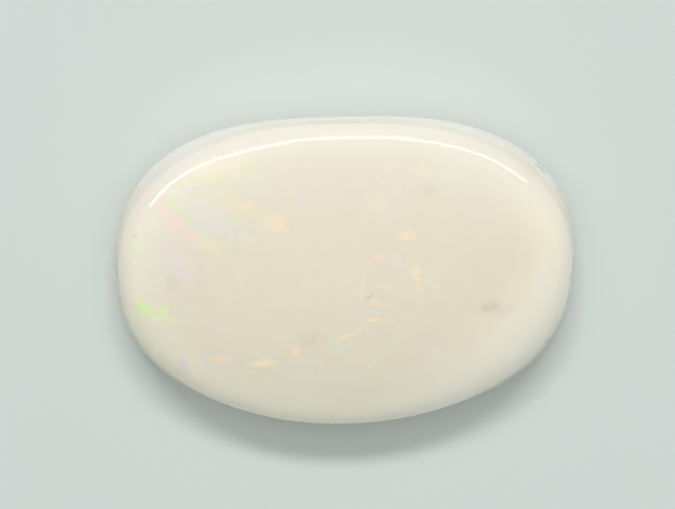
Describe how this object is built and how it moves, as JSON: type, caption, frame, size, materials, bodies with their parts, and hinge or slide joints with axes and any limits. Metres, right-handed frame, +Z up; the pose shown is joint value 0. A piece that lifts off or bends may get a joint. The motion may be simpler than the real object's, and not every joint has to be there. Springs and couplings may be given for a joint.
{
  "type": "oval white opal cabochon",
  "caption": "Polished oval of creamy white opal with a low domed face, a rounded shoulder, a leaning side wall and a flat ground back",
  "frame": {"origin": "the middle of the stone's box, on the flat ground back that it rests on", "axes": "+Z up through the domed face, X along the stone's length, Y across it with the flatter long side towards +Y"},
  "size_m": [0.016, 0.0108, 0.003],
  "materials": {
    "opal": "polished, glassy; milky white body with small pale flashes of colour"
  },
  "bodies": {
    "root": {"opal": "opal"}
  },
  "joints": []
}
